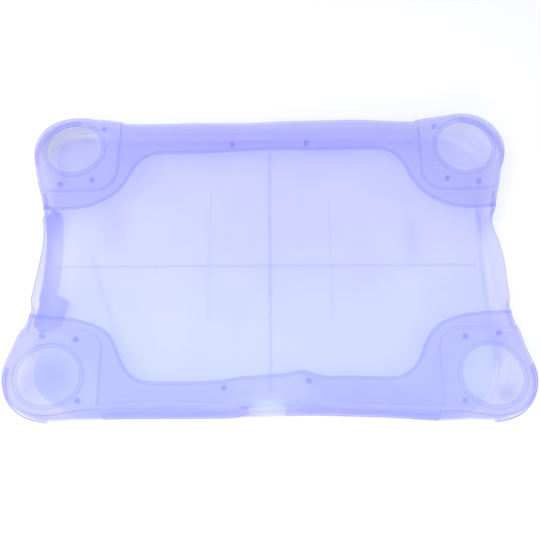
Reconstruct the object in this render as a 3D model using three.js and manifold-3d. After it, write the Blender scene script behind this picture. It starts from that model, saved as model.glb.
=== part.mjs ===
// Silicone sleeve for a home balance board, lying underside up.
// Millimetres, +Z up, +X along the long side, -Y towards the front.
// The thin standing sheet rests on the ground; the flange and the four foot pods are on top.
import * as THREE from 'three';
import { mergeVertices } from 'three/addons/utils/BufferGeometryUtils.js';
import Module from 'manifold-3d';

const wasm = await Module();
wasm.setup();

// ---------------------------------------------------------------- driving dimensions
const SKIN = 1.6;            // silicone thickness
const GAP = 0.3;             // clearance between two neighbouring regions
const FLANGE_Z = 30;         // outer face of the underside flange
const POD_Z = 34;            // outer face of the raised foot platforms
const WALL_FILLET = 6;       // radius where a wall turns into the flange
const POD_FILLET = 3.5;      // radius where a pod turns into its platform
const WALL_INSET = 6.5;      // flange starts this far inside the wall
const POD_INSET = 3.8;       // platform starts this far inside the pod
const FOOT_X = 209.5;        // foot hole centre
const FOOT_Y = 124.5;
const FOOT_R = 29;           // foot hole radius
const RIM_W = 2.6;           // width of the rim around a foot hole
const STEP_X = 160;          // platform step: straight part along Y
const STEP_Y = 75;           // platform step: straight part along X
const STEP_R = 23;           // rounding between the two
const EDGE_Y = 124;          // inner edge of the long flange strips
const CUT_Y = 58;            // inner edge of the corner gussets at the side walls
const GUSSET = [192, 105, 47];   // convex arc of the inner edge: centre x, y, radius
const NECK = [126, 105, 19];     // concave arc that leads into the strip
const BEAD_W = 3;            // thickened free edge of the flange
const BEAD_H = 2.6;
const BUMPER_W = 3.2;        // how far a corner band stands proud
const BUMPER_Z = [12, 24];
const WINDOW = { x: 0, w: 42, z0: 4.5, z1: 23, r: 4 };   // power switch window
const PIP_R = 2.6;
const PIP_H = 2.4;
const POD_PIPS = [[180, 150], [220, 83], [187, 87]];
const STRIP_PIP = [40, 133];
const RIB_W = 2;             // moulded guide lines on the inside of the sheet
const RIB_H = 0.7;

// Outer face of the wall in plan, one quadrant, from the long side to the short side.
const WALL_LINE = [
  [0, 160.5], [80, 160.5], [160, 160.5], [186, 161.8], [209, 163.8],
  [229, 159.6], [243, 149.4], [250.5, 136], [252.5, 122], [250, 108],
  [241.5, 75], [237, 58], [232.7, 37], [231, 18], [231, 0],
];
// Where the outer face leaves the ground, same stations.
const FOOT_LINE = [
  [0, 153], [80, 153], [160, 153], [184, 152.5], [200, 149.5],
  [213, 142.5], [222, 132.5], [227.5, 121], [229.5, 108], [229, 95],
  [227, 75], [225.3, 58], [223, 37], [222, 18], [222, 0],
];
const LONG_IN = WALL_LINE[0][1] - WALL_INSET - GAP;   // outer edge of the flat flange
const AT_STEP_X = 2;         // station on the long side where the pod starts
const AT_STEP_Y = 10;        // station on the short side where the pod ends
const AT_CUT = 11;           // station where the gusset ends
const LAST = WALL_LINE.length - 1;

// Wall section below the wall face: share of the way out, height.
const FILLET = [[0, 0], ...[0, 22.5, 45, 67.5, 90].map((a) => {
  const t = a * Math.PI / 180;
  return [0.1 + 0.9 * Math.sin(t), 8.5 * (1 - Math.cos(t))];
})];
const SHELF = [[0, 0], [0.1, 0], [0.15, 5.4], [0.34, 8], [0.86, 9.6], [1, 15]];

// ---------------------------------------------------------------- colours
const COLOURS = {
  sheet: 0xccd5ff, wall: 0xb7bbfb, pod: 0xb9bdf8, band: 0xa9acf0,
  flange: 0xb2b6fa, platform: 0xb6baf6, rim: 0x9ea2ee, bead: 0xa3a7f2, pip: 0x8f92e6,
};

const group = new THREE.Group();
group.name = 'balance_board_sleeve';

function addMesh(name, geometry, colour) {
  const material = new THREE.MeshStandardMaterial({
    color: COLOURS[colour],
    roughness: 0.45,
    metalness: 0,
    transparent: true,
    opacity: 0.72,
  });
  material.name = `silicone_${name}`;
  const mesh = new THREE.Mesh(geometry, material);
  mesh.name = name;
  group.add(mesh);
  return mesh;
}

// ---------------------------------------------------------------- small helpers
function toManifold(geometry) {
  let g = geometry.clone();
  g.deleteAttribute('normal');
  g.deleteAttribute('uv');
  g = mergeVertices(g, 1e-4);
  const tri = g.index ? g.index.array : null;
  return new wasm.Manifold(new wasm.Mesh({
    numProp: 3,
    vertProperties: new Float32Array(g.attributes.position.array),
    triVerts: new Uint32Array(tri),
  }));
}

function fromManifold(solid) {
  const m = solid.getMesh();
  const g = new THREE.BufferGeometry();
  g.setAttribute('position', new THREE.BufferAttribute(new Float32Array(m.vertProperties), 3));
  g.setIndex(new THREE.BufferAttribute(new Uint32Array(m.triVerts), 1));
  g.computeVertexNormals();
  return g;
}

function catmull(points, s) {
  const n = points.length - 1;
  const i = Math.min(Math.floor(s), n - 1);
  const f = s - i;
  const p1 = points[i];
  const p2 = points[i + 1];
  // past each end the quadrant is mirrored, so the curve meets its mirror image squarely
  const p0 = i > 0 ? points[i - 1] : [-points[1][0], points[1][1]];
  const p3 = i < n - 1 ? points[i + 2] : [points[n - 1][0], -points[n - 1][1]];
  return [0, 1].map((k) => 0.5 * (
    2 * p1[k]
    + (p2[k] - p0[k]) * f
    + (2 * p0[k] - 5 * p1[k] + 4 * p2[k] - p3[k]) * f * f
    + (3 * p1[k] - p0[k] - 3 * p2[k] + p3[k]) * f * f * f
  ));
}

// s runs 0..LAST in the first quadrant; a negative s mirrors in X, s beyond LAST mirrors in Y
function along(points, s) {
  if (s < 0) {
    const [x, y] = catmull(points, -s);
    return [-x, y];
  }
  if (s > LAST) {
    const [x, y] = catmull(points, 2 * LAST - s);
    return [x, -y];
  }
  return catmull(points, s);
}

function outward(points, s) {
  const d = 0.02;
  const a = along(points, s - d);
  const b = along(points, s + d);
  // beside the flared side walls everything is set in squarely along X
  const q = Math.min(Math.abs(s), 2 * LAST - Math.abs(s));
  const w = smooth(8.6, 9.7, q);
  const l = Math.hypot(b[0] - a[0], b[1] - a[1]);
  const nx = ((a[1] - b[1]) / l) * (1 - w) + w * Math.sign(s);
  const ny = ((b[0] - a[0]) / l) * (1 - w);
  const m = Math.hypot(nx, ny);
  return [nx / m, ny / m];
}

function smooth(a, b, v) {
  const t = Math.min(1, Math.max(0, (v - a) / (b - a)));
  return t * t * (3 - 2 * t);
}

function podShare(s) {
  const q = s < 0 ? -s : Math.min(s, 2 * LAST - s);
  return smooth(AT_STEP_X, 4, q) * (1 - smooth(8.6, 11, q));
}

// A station of the wall: points of its outer face from the ground to the flange.
function section(s, top, fillet, inset, closed) {
  const o = along(WALL_LINE, s);
  const b = along(FOOT_LINE, s);
  const n = outward(WALL_LINE, s);
  const w = podShare(s);
  const rows = FILLET.map((f, i) => {
    const share = f[0] * (1 - w) + SHELF[i][0] * w;
    const z = f[1] * (1 - w) + SHELF[i][1] * w;
    return [b[0] + (o[0] - b[0]) * share, b[1] + (o[1] - b[1]) * share, z];
  });
  rows.push([o[0], o[1], 20]);
  for (let k = 0; k <= 4; k += 1) {
    const a = (k / 4) * (Math.PI / 2);
    const back = closed ? fillet * (1 - Math.cos(a)) : 0;
    const z = closed ? top - fillet + fillet * Math.sin(a) : top - fillet + (fillet * k) / 4;
    rows.push([o[0] - n[0] * back, o[1] - n[1] * back, z]);
  }
  const last = rows[rows.length - 1];
  const tail = inset - fillet;
  if (closed) {
    rows.push([last[0] - n[0] * tail, last[1] - n[1] * tail, top]);
  } else {
    rows.push([last[0], last[1], top + 0.4]);
  }
  return rows;
}

// Closed solid between a grid of outer points and the same grid moved inwards by SKIN.
function shell(grid) {
  const n = grid.length;
  const m = grid[0].length;
  const at = (i, j) => new THREE.Vector3(...grid[i][j]);
  const inner = [];
  for (let i = 0; i < n; i += 1) {
    inner.push([]);
    for (let j = 0; j < m; j += 1) {
      const du = at(Math.min(i + 1, n - 1), j).sub(at(Math.max(i - 1, 0), j));
      const dv = at(i, Math.min(j + 1, m - 1)).sub(at(i, Math.max(j - 1, 0)));
      const nrm = du.cross(dv).normalize();
      inner[i].push(at(i, j).addScaledVector(nrm, SKIN));
    }
  }
  const pos = [];
  for (let i = 0; i < n; i += 1) for (let j = 0; j < m; j += 1) pos.push(...grid[i][j]);
  for (let i = 0; i < n; i += 1) for (let j = 0; j < m; j += 1) pos.push(...inner[i][j].toArray());
  const O = (i, j) => i * m + j;
  const I = (i, j) => n * m + i * m + j;
  const tri = [];
  const quad = (a, b, c, d) => tri.push(a, b, c, a, c, d);
  for (let i = 0; i < n - 1; i += 1) {
    for (let j = 0; j < m - 1; j += 1) {
      quad(O(i, j), O(i, j + 1), O(i + 1, j + 1), O(i + 1, j));
      quad(I(i, j), I(i + 1, j), I(i + 1, j + 1), I(i, j + 1));
    }
  }
  for (let i = 0; i < n - 1; i += 1) {
    quad(O(i, 0), O(i + 1, 0), I(i + 1, 0), I(i, 0));
    quad(O(i, m - 1), I(i, m - 1), I(i + 1, m - 1), O(i + 1, m - 1));
  }
  for (let j = 0; j < m - 1; j += 1) {
    quad(O(0, j), I(0, j), I(0, j + 1), O(0, j + 1));
    quad(O(n - 1, j), O(n - 1, j + 1), I(n - 1, j + 1), I(n - 1, j));
  }
  const g = new THREE.BufferGeometry();
  g.setAttribute('position', new THREE.Float32BufferAttribute(pos, 3));
  g.setIndex(tri);
  return facingOut(g);
}

function volume(g) {
  const p = g.attributes.position;
  const t = g.index.array;
  let v = 0;
  const a = new THREE.Vector3();
  const b = new THREE.Vector3();
  const c = new THREE.Vector3();
  for (let i = 0; i < t.length; i += 3) {
    a.fromBufferAttribute(p, t[i]);
    b.fromBufferAttribute(p, t[i + 1]);
    c.fromBufferAttribute(p, t[i + 2]);
    v += a.dot(b.cross(c)) / 6;
  }
  return v;
}

function facingOut(g) {
  if (volume(g) < 0) {
    const t = g.index.array;
    for (let i = 0; i < t.length; i += 3) {
      const k = t[i];
      t[i] = t[i + 1];
      t[i + 1] = k;
    }
  }
  g.computeVertexNormals();
  return g;
}

// A plan path swept with a closed section given as [sideways, height] pairs.
function sweep(path, profile) {
  const n = path.length;
  const m = profile.length;
  const pos = [];
  path.forEach((p, i) => {
    const a = path[Math.max(i - 1, 0)];
    const b = path[Math.min(i + 1, n - 1)];
    const l = Math.hypot(b[0] - a[0], b[1] - a[1]);
    const side = [-(b[1] - a[1]) / l, (b[0] - a[0]) / l];
    profile.forEach(([u, z]) => pos.push(p[0] + side[0] * u, p[1] + side[1] * u, z));
  });
  const tri = [];
  for (let i = 0; i < n - 1; i += 1) {
    for (let j = 0; j < m; j += 1) {
      const k = (j + 1) % m;
      tri.push(i * m + j, (i + 1) * m + j, (i + 1) * m + k);
      tri.push(i * m + j, (i + 1) * m + k, i * m + k);
    }
  }
  for (let j = 1; j < m - 1; j += 1) {
    tri.push(0, j, j + 1);
    tri.push((n - 1) * m, (n - 1) * m + j + 1, (n - 1) * m + j);
  }
  const g = new THREE.BufferGeometry();
  g.setAttribute('position', new THREE.Float32BufferAttribute(pos, 3));
  g.setIndex(tri);
  return facingOut(g);
}

function arc(cx, cy, r, a0, a1, steps) {
  return Array.from({ length: steps + 1 }, (_, i) => {
    const a = (a0 + ((a1 - a0) * i) / steps) * (Math.PI / 180);
    return [cx + r * Math.cos(a), cy + r * Math.sin(a)];
  });
}

function plate(points, z0, z1, holes = []) {
  const shape = new THREE.Shape(points.map((p) => new THREE.Vector2(p[0], p[1])));
  holes.forEach((h) => shape.holes.push(new THREE.Path(h.map((p) => new THREE.Vector2(p[0], p[1])))));
  const g = new THREE.ExtrudeGeometry(shape, { depth: z1 - z0, bevelEnabled: false });
  g.translate(0, 0, z0);
  return g;
}

function solidPlate(points, z0, z1, holes) {
  return fromManifold(toManifold(plate(points, z0, z1, holes)));
}

// Mirrors a first-quadrant solid into another corner and keeps its faces outwards.
function mirrored(geometry, mx, my) {
  const g = geometry.clone();
  g.scale(mx, my, 1);
  const m = mergeVertices(g, 1e-5);
  if (!m.index) throw new Error('no index');
  return facingOut(m);
}

const CORNERS = { fr: [1, -1], fl: [-1, -1], br: [1, 1], bl: [-1, 1] };

function stations(a, b, count) {
  return Array.from({ length: count + 1 }, (_, i) => a + ((b - a) * i) / count);
}

// ---------------------------------------------------------------- standing sheet
function sheetOutline(shrink) {
  const quadrant = stations(0, LAST, 42).map((s) => {
    const p = along(FOOT_LINE, s);
    const n = outward(FOOT_LINE, s);
    return [p[0] - n[0] * shrink, p[1] - n[1] * shrink];
  });
  const q2 = quadrant.slice(0, -1).reverse().map(([x, y]) => [x, -y]);
  const right = quadrant.concat(q2);
  const left = right.slice(1, -1).reverse().map(([x, y]) => [-x, y]);
  return right.concat(left).reverse();
}

let sheet = toManifold(plate(sheetOutline(GAP), 0, SKIN));
const RIBS = [
  [-206, 206, -RIB_W / 2, RIB_W / 2],
  [-RIB_W / 2, RIB_W / 2, -138, 138],
  [-64.7, -63.3, -105, 105],
  [63.3, 64.7, -105, 105],
];
for (const [x0, x1, y0, y1] of RIBS) {
  const rib = plate([[x0, y0], [x1, y0], [x1, y1], [x0, y1]], SKIN / 2, SKIN + RIB_H);
  sheet = sheet.add(toManifold(rib));
}
addMesh('standing_sheet', fromManifold(sheet), 'sheet');

// ---------------------------------------------------------------- long walls
function longWall(front) {
  const cut = 0.15 / 26;
  const grid = stations(-AT_STEP_X + cut, AT_STEP_X - cut, 8)
    .map((s) => section(s, FLANGE_Z, WALL_FILLET, WALL_INSET, true));
  const g = shell(grid);
  return front ? mirrored(g, 1, -1) : g;
}

function roundedRect(x0, x1, z0, z1, r) {
  return [
    ...arc(x1 - r, z1 - r, r, 0, 90, 4),
    ...arc(x0 + r, z1 - r, r, 90, 180, 4),
    ...arc(x0 + r, z0 + r, r, 180, 270, 4),
    ...arc(x1 - r, z0 + r, r, 270, 360, 4),
  ];
}

const { x: wx, w: ww, z0: wz0, z1: wz1, r: wr } = WINDOW;
const windowBlock = plate(roundedRect(wx - ww / 2, wx + ww / 2, wz0, wz1, wr), 0, 30);
windowBlock.rotateX(Math.PI / 2);
windowBlock.translate(0, -142, 0);
const frontWall = toManifold(longWall(true)).subtract(toManifold(windowBlock));
addMesh('front_wall', fromManifold(frontWall), 'wall');
addMesh('back_wall', longWall(false), 'wall');

// ---------------------------------------------------------------- side walls
function sideWall(mx) {
  const cut = 0.15 / 18;
  const mirror = 2 * LAST;
  const list = [
    ...stations(AT_STEP_Y + cut, AT_CUT - 0.02, 2).map((s) => [s, true]),
    ...stations(AT_CUT + 0.02, mirror - AT_CUT - 0.02, 12).map((s) => [s, false]),
    ...stations(mirror - AT_CUT + 0.02, mirror - AT_STEP_Y - cut, 2).map((s) => [s, true]),
  ];
  const grid = list.map(([s, closed]) => section(s, FLANGE_Z, WALL_FILLET, WALL_INSET, closed));
  return mirrored(shell(grid), mx, 1);
}
addMesh('right_wall', sideWall(1), 'wall');
addMesh('left_wall', sideWall(-1), 'wall');

// ---------------------------------------------------------------- foot pods
function podShell() {
  const cut = 0.15 / 26;
  const grid = stations(AT_STEP_X + cut, AT_STEP_Y - 0.005, 22)
    .map((s) => section(s, POD_Z, POD_FILLET, POD_INSET, true));
  return shell(grid);
}

function bumperBand() {
  const path = stations(4.05, 8.75, 18).map((s) => {
    const p = along(WALL_LINE, s);
    const n = outward(WALL_LINE, s);
    return [p[0] + n[0] * GAP, p[1] + n[1] * GAP];
  });
  const [z0, z1] = BUMPER_Z;
  const w = BUMPER_W;
  return sweep(path, [[0, z0 + 4], [w - 1.2, z0 + 4], [w, z0 + 5.6], [w, z1 - 1.4], [w - 1.2, z1], [0, z1]]);
}

function stepLine(r, steps) {
  // from the side wall to the long wall, on a line r inside (+) or outside (-) of the step
  return [
    [235, STEP_Y + r],
    ...arc(STEP_X + STEP_R, STEP_Y + STEP_R, STEP_R - r, 270, 180, steps),
    [STEP_X + r, LONG_IN - 0.2],
  ];
}

function wallInset(a, b, count, inset) {
  return stations(a, b, count).map((s) => {
    const p = along(WALL_LINE, s);
    const n = outward(WALL_LINE, s);
    return [p[0] - n[0] * inset, p[1] - n[1] * inset];
  });
}

function footPlatform() {
  const edge = wallInset(AT_STEP_X + 0.012, AT_STEP_Y - 0.02, 30, POD_INSET + GAP);
  const line = stepLine(0, 10);
  const outline = [...edge, ...line.slice(1, -1)];
  const hole = arc(FOOT_X, FOOT_Y, FOOT_R + RIM_W + GAP, 0, 350, 35);
  const top = toManifold(plate(outline, POD_Z - SKIN, POD_Z, [hole]));
  const inner = stepLine(SKIN, 10);
  inner[0][0] = 232;
  line[0][0] = 232;
  inner[inner.length - 1][1] = LONG_IN - 1.7;
  line[line.length - 1][1] = LONG_IN - 1.7;
  const skirt = toManifold(plate([...line, ...inner.reverse()], FLANGE_Z - SKIN, POD_Z - SKIN / 2));
  return fromManifold(top.add(skirt));
}

function footRim() {
  const r0 = FOOT_R;
  const r1 = FOOT_R + RIM_W;
  const top = POD_Z + 0.9;
  const low = POD_Z - SKIN - 0.4;
  const points = [
    [r0, low - 3.2], [r0 + 1.3, low - 3.2], [r0 + 1.5, low], [r1, low + 0.4], [r1, top - 0.8],
    [r1 - 0.8, top], [r0 + 0.8, top], [r0, top - 0.8], [r0, low - 3.2],
  ].map((p) => new THREE.Vector2(p[0], p[1]));
  let g = new THREE.LatheGeometry(points, 36);
  g.rotateX(Math.PI / 2);
  g.deleteAttribute('normal');
  g.deleteAttribute('uv');
  g = mergeVertices(g, 1e-4);
  g.translate(FOOT_X, FOOT_Y, 0);
  return facingOut(g);
}

function cornerGusset() {
  const [gx, gy, gr] = GUSSET;
  const [nx, ny, nr] = NECK;
  const back = BEAD_W + GAP;
  const side = wallInset(AT_STEP_Y + 0.02, AT_CUT - 0.22, 3, WALL_INSET + GAP);
  const edge = [
    ...arc(gx, gy, gr - back, 270, 180, 14),
    ...arc(nx, ny, nr + back, 0, 90, 8),
  ];
  const line = stepLine(-GAP, 10).slice(1, -1).reverse();
  const outline = [
    [NECK[0] + 0.3, LONG_IN],
    [STEP_X - GAP, LONG_IN],
    ...line,
    ...side,
    ...edge,
  ];
  outline.pop();
  outline.push([NECK[0] + 0.3, EDGE_Y + back]);
  return solidPlate(outline, FLANGE_Z - SKIN, FLANGE_Z);
}

const podParts = {
  pod_shell: [podShell(), 'pod'],
  bumper_band: [bumperBand(), 'band'],
  foot_platform: [footPlatform(), 'platform'],
  foot_hole_rim: [footRim(), 'rim'],
  corner_gusset: [cornerGusset(), 'flange'],
};
for (const [part, [geometry, colour]] of Object.entries(podParts)) {
  for (const [corner, [mx, my]] of Object.entries(CORNERS)) {
    addMesh(`${part}_${corner}`, mirrored(geometry, mx, my), colour);
  }
}

// ---------------------------------------------------------------- flange strips
const strip = solidPlate([
  [-NECK[0], EDGE_Y + BEAD_W + GAP], [NECK[0], EDGE_Y + BEAD_W + GAP],
  [NECK[0], LONG_IN], [-NECK[0], LONG_IN],
], FLANGE_Z - SKIN, FLANGE_Z);
addMesh('front_flange', mirrored(strip, 1, -1), 'flange');
addMesh('back_flange', mirrored(strip, 1, 1), 'flange');

function edgeBead() {
  const [gx, gy, gr] = GUSSET;
  const [nx, ny, nr] = NECK;
  const h = BEAD_W / 2;
  const half = [
    [229.5, CUT_Y + h],
    [210, CUT_Y + h],
    ...arc(gx, gy, gr - h, 270, 180, 14),
    ...arc(nx, ny, nr + h, 0, 90, 8),
    [60, EDGE_Y + h],
  ];
  const path = [...half, [0, EDGE_Y + h], ...half.slice().reverse().map(([x, y]) => [-x, y])];
  const z0 = FLANGE_Z - SKIN - 0.5;
  const z1 = z0 + BEAD_H;
  const e = 0.8;
  const zm = (z0 + z1) / 2;
  return sweep(path, [[-h, zm], [-h + e, z0], [h - e, z0], [h, zm], [h - e, z1], [-h + e, z1]]);
}
const bead = edgeBead();
addMesh('front_edge_bead', mirrored(bead, 1, -1), 'bead');
addMesh('back_edge_bead', mirrored(bead, 1, 1), 'bead');

// ---------------------------------------------------------------- locating pips
function pip(x, y, under) {
  const top = under - GAP;
  const points = [
    [0, top - PIP_H], [PIP_R * 0.55, top - PIP_H], [PIP_R * 0.92, top - PIP_H + 0.7],
    [PIP_R, top], [0, top],
  ].map((p) => new THREE.Vector2(p[0], p[1]));
  let g = new THREE.LatheGeometry(points, 12);
  g.rotateX(Math.PI / 2);
  g.deleteAttribute('normal');
  g.deleteAttribute('uv');
  g = mergeVertices(g, 1e-4);
  g.translate(x, y, 0);
  return facingOut(cleaned(g));
}

function cleaned(g) {
  const t = Array.from(g.index.array);
  const keep = [];
  for (let i = 0; i < t.length; i += 3) {
    if (t[i] !== t[i + 1] && t[i + 1] !== t[i + 2] && t[i] !== t[i + 2]) {
      keep.push(t[i], t[i + 1], t[i + 2]);
    }
  }
  g.setIndex(keep);
  return g;
}

for (const [corner, [mx, my]] of Object.entries(CORNERS)) {
  POD_PIPS.forEach(([x, y], i) => {
    addMesh(`pip_${corner}_${'abc'[i]}`, pip(x * mx, y * my, POD_Z - SKIN), 'pip');
  });
}
for (const [side, my] of [['front', -1], ['back', 1]]) {
  for (const [end, mx] of [['left', -1], ['right', 1]]) {
    addMesh(`pip_${side}_${end}`, pip(STRIP_PIP[0] * mx, STRIP_PIP[1] * my, FLANGE_Z - SKIN), 'pip');
  }
}

export default group;
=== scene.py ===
"""Silicone sleeve for a home balance board, lying empty and underside up.

Lengths are in millimetres until a mesh is made, which turns them into metres.
"""
from functools import partial
from math import atan2, copysign, cos, dist, exp, hypot, pi, radians, sin

import bmesh
import bpy
import numpy as np
from mathutils import Matrix, Vector, noise


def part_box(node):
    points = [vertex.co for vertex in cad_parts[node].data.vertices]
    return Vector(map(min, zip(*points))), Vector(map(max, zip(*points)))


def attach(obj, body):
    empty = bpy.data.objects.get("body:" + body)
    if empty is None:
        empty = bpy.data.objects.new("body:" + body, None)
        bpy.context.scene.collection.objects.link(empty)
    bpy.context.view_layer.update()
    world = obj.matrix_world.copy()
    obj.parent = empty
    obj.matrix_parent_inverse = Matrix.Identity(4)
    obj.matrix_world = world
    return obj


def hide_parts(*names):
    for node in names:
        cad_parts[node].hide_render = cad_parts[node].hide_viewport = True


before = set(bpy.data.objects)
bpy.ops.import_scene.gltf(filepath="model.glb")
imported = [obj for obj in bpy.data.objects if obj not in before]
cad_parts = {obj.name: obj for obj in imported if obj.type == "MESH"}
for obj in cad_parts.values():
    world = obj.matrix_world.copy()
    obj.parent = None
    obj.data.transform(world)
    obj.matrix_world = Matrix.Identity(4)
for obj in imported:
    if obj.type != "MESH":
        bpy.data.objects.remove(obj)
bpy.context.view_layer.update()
noise.seed_set(4)       # noise_vector would slump the sleeve differently each time without it

bl_info = {
    "name": "Balance board sleeve",
    "version": (1, 0, 0),
    "blender": (4, 5, 0),
    "location": "View3D > Sidebar > Sleeve",
    "description": "Builds a translucent silicone sleeve for a balance board, and its stage",
    "category": "Object",
}

MM = 0.001
CORNERS = {"fr": (1, -1), "fl": (-1, -1), "br": (1, 1), "bl": (-1, 1)}


def cad_height(node, end):
    """Height in millimetres of the lowest (0) or highest (1) point of a CAD node."""
    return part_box(node)[end][2] / MM


# ---- outlines

# Outer face of the wall in plan, one quadrant, from the long side to the short side.
WALL_LINE = [
    (0, 160.5), (80, 160.5), (160, 160.5), (186, 161.8), (209, 163.8),
    (229, 159.6), (243, 149.4), (250.5, 136), (252.5, 122), (250, 108),
    (241.5, 75), (237, 58), (232.7, 37), (231, 18), (231, 0),
]
# Where the outer face leaves the ground, same stations.
FOOT_LINE = [
    (0, 153), (80, 153), (160, 153), (184, 152.5), (200, 149.5),
    (213, 142.5), (222, 132.5), (227.5, 121), (229.5, 108), (229, 95),
    (227, 75), (225.3, 58), (223, 37), (222, 18), (222, 0),
]
AT_STEP_X = 2       # station where a pod starts on the long side
AT_CORNER = 5.2     # station nearest the corner of the sheet
AT_BULGE = 8.6      # station where a pod's bulge starts to fade into the side wall
AT_STEP_Y = 10      # station where a pod ends on the short side
AT_CUT = 11         # station where a gusset ends
AT_BAND = (4.05, 8.75)      # stations where a bumper band starts and ends
LAST = len(WALL_LINE) - 1
# Rows of a wall: up its foot, up its face and round the turn into the flange.
FOOT_ROWS, FACE_ROWS, TURN_ROWS = 14, 12, 7
RIDGE_ROW = -6      # row in the turn where the mould parts

STEP_X, STEP_Y, STEP_R = 160, 75, 23      # step between a gusset and its foot platform
STEP_BACK = 2.6                           # how far the step leans back
EDGE_Y = 124.6                            # free edge of the strips
NECK_X = 112                              # where a strip's edge starts to swing into a gusset
# Free edge of a gusset in plan, from the side wall to the strip.
GUSSET_EDGE = [
    (236, 58), (224, 58), (208, 58.2), (186, 61.3), (167.5, 69.3), (156, 80), (149, 92),
    (144, 104), (137, 115), (126, 122.6), (NECK_X, EDGE_Y), (100, EDGE_Y), (60, EDGE_Y), (0, EDGE_Y),
]
FOOT_X, FOOT_Y = 209.5, 124.5             # centre of a foot hole
SHELF = [(0, 0), (0.08, 0.3), (0.13, 3.2), (0.19, 6.6), (0.38, 8.3), (0.68, 8.8), (0.9, 10.4), (1, 15)]
POD_PIPS = [(180, 150), (220, 83), (187, 87)]
STRIP_PIP = (40, 133)
PIP_DRIFT = {"front": -4, "back": 0}      # the slumped front strip carries its pips to the left
TOPS = {"flange": cad_height("front_flange", 1), "platform": cad_height("foot_platform_fr", 1)}
WINDOW_X, WINDOW_Z, WINDOW_CORNER = (-22, 14), (7, 25), 6     # opening for the board's switch
BAND_MIDDLE = 18                          # height at which a band is slumped
# Guide lines in the sheet: their ends, width and how thin they look.
GUIDE_LINES = [
    ((-216, 0), (216, 0), 1.1, 0.75), ((0, -136), (0, 136), 1.1, 0.68),
    ((-64, -60), (-64, 85), 1.0, 0.95), ((64, -60), (64, 85), 1.0, 0.96),
]


def mix(a, b, t):
    return a + (b - a) * t


def smooth(a, b, v):
    t = min(1.0, max(0.0, (v - a) / (b - a)))
    return t * t * (3 - 2 * t)


def bump(v, reach):
    """Bell curve: 1 in the middle, nearly 0 at twice the reach."""
    return exp(-(v / reach) ** 2)


def spline(points, s, before=None, after=None):
    """Catmull-Rom curve through points, with s counting whole points."""
    n = len(points) - 1
    i = min(int(s), n - 1)
    f = s - i
    p1, p2 = points[i], points[i + 1]
    p0 = points[i - 1] if i > 0 else before or p1
    p3 = points[i + 2] if i < n - 1 else after or p2
    return tuple(
        0.5 * (
            2 * b + (c - a) * f
            + (2 * a - 5 * b + 4 * c - d) * f * f
            + (3 * b - a - 3 * c + d) * f ** 3
        )
        for a, b, c, d in zip(p0, p1, p2, p3)
    )


def along(line, s):
    """Point of a quadrant line; s below 0 or above LAST is on its mirror image."""
    q = abs(s) if s < LAST else 2 * LAST - s
    before = (-line[1][0], line[1][1])
    after = (line[-2][0], -line[-2][1])
    x, y = spline(line, q, before, after)
    return (-x if s < 0 else x), (-y if s > LAST else y)


def outward(line, s):
    """Direction out of the sleeve in plan; beside the side walls it is squarely along X."""
    d = 0.02
    ax, ay = along(line, s - d)
    bx, by = along(line, s + d)
    length = hypot(bx - ax, by - ay)
    square = smooth(AT_BULGE, 9.7, nearest(s))
    nx = mix((ay - by) / length, copysign(1, s), square)
    ny = mix((bx - ax) / length, 0, square)
    size = hypot(nx, ny)
    return nx / size, ny / size


def set_in(s, distance):
    """Point that lies a distance inside the wall's outer face."""
    (x, y), (nx, ny) = along(WALL_LINE, s), outward(WALL_LINE, s)
    return x - nx * distance, y - ny * distance


def nearest(s):
    """The station counted from the closer long side."""
    return min(abs(s), 2 * LAST - abs(s))


def pod_share(s):
    q = nearest(s)
    return smooth(AT_STEP_X, 4, q) * (1 - smooth(AT_BULGE, AT_CUT, q))


def closed_share(s):
    """1 where a wall turns into the flange, and 0 where it ends in a free edge."""
    return 1 - smooth(AT_CUT, AT_CUT + 0.7, nearest(s))


def at_corners(node):
    """Name and mirror signs of a node's copy at each corner."""
    return [(f"{node}_{corner}", mx, my) for corner, (mx, my) in CORNERS.items()]


def steps(a, b, count):
    return [mix(a, b, i / count) for i in range(count + 1)]


def arc(cx, cy, r, a0, a1, count):
    turns = (radians(a) for a in steps(a0, a1, count))
    return [(cx + r * cos(a), cy + r * sin(a)) for a in turns]


def lengths(path):
    total = [0.0]
    for a, b in zip(path, path[1:]):
        total.append(total[-1] + dist(a, b))
    return total


def spaced(path, count):
    """The same path in equal stretches."""
    total = lengths(path)
    out = []
    i = 0
    for want in steps(0, total[-1], count):
        while i < len(path) - 2 and total[i + 1] < want:
            i += 1
        span = total[i + 1] - total[i]
        t = (want - total[i]) / span if span else 0
        out.append(tuple(mix(a, b, t) for a, b in zip(path[i], path[i + 1])))
    return out


# ---- how the empty sleeve slumps

# Soft pulls on the loose upper parts: where, reach in X and Y, and the move.
PULLS = [
    (-205, 56, 50, 20, (0, -4, -1.5)),
    (205, 56, 50, 20, (0, -4.5, -1)),
    (-190, -60, 55, 22, (0, -6, 0)),
    (200, -60, 45, 20, (0, -2.5, 0)),
    (-95, 122, 70, 16, (0, -3.2, -2)),
    (-85, -127, 62, 15, (0, -4.3, -1)),
    (30, -124, 14, 20, (0, 4.6, 5)),
    (3, -126, 16, 20, (0, 2.2, 2.5)),
    (-25, -128, 14, 20, (0, 2, 1.5)),
    (75, 160, 85, 20, (0, 2.6, 1)),
    (-180, 160, 50, 20, (0, 0.5, -0.5)),
    (213, 164, 30, 22, (0, 1.5, 3)),
    (-105, -158, 95, 14, (0, 7.5, 0)),
    (20, -158, 42, 14, (0, 8, 0)),
    (105, -158, 60, 14, (0, 4.5, 0)),
    (236, 152, 24, 18, (1.4, 1.2, 0)),
    (246, 94, 12, 18, (-2, 0, 0)),
    (246, -92, 14, 24, (-2.6, 0, 0)),
    (-250, -112, 14, 14, (-1.5, 0, 0)),
]
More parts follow.
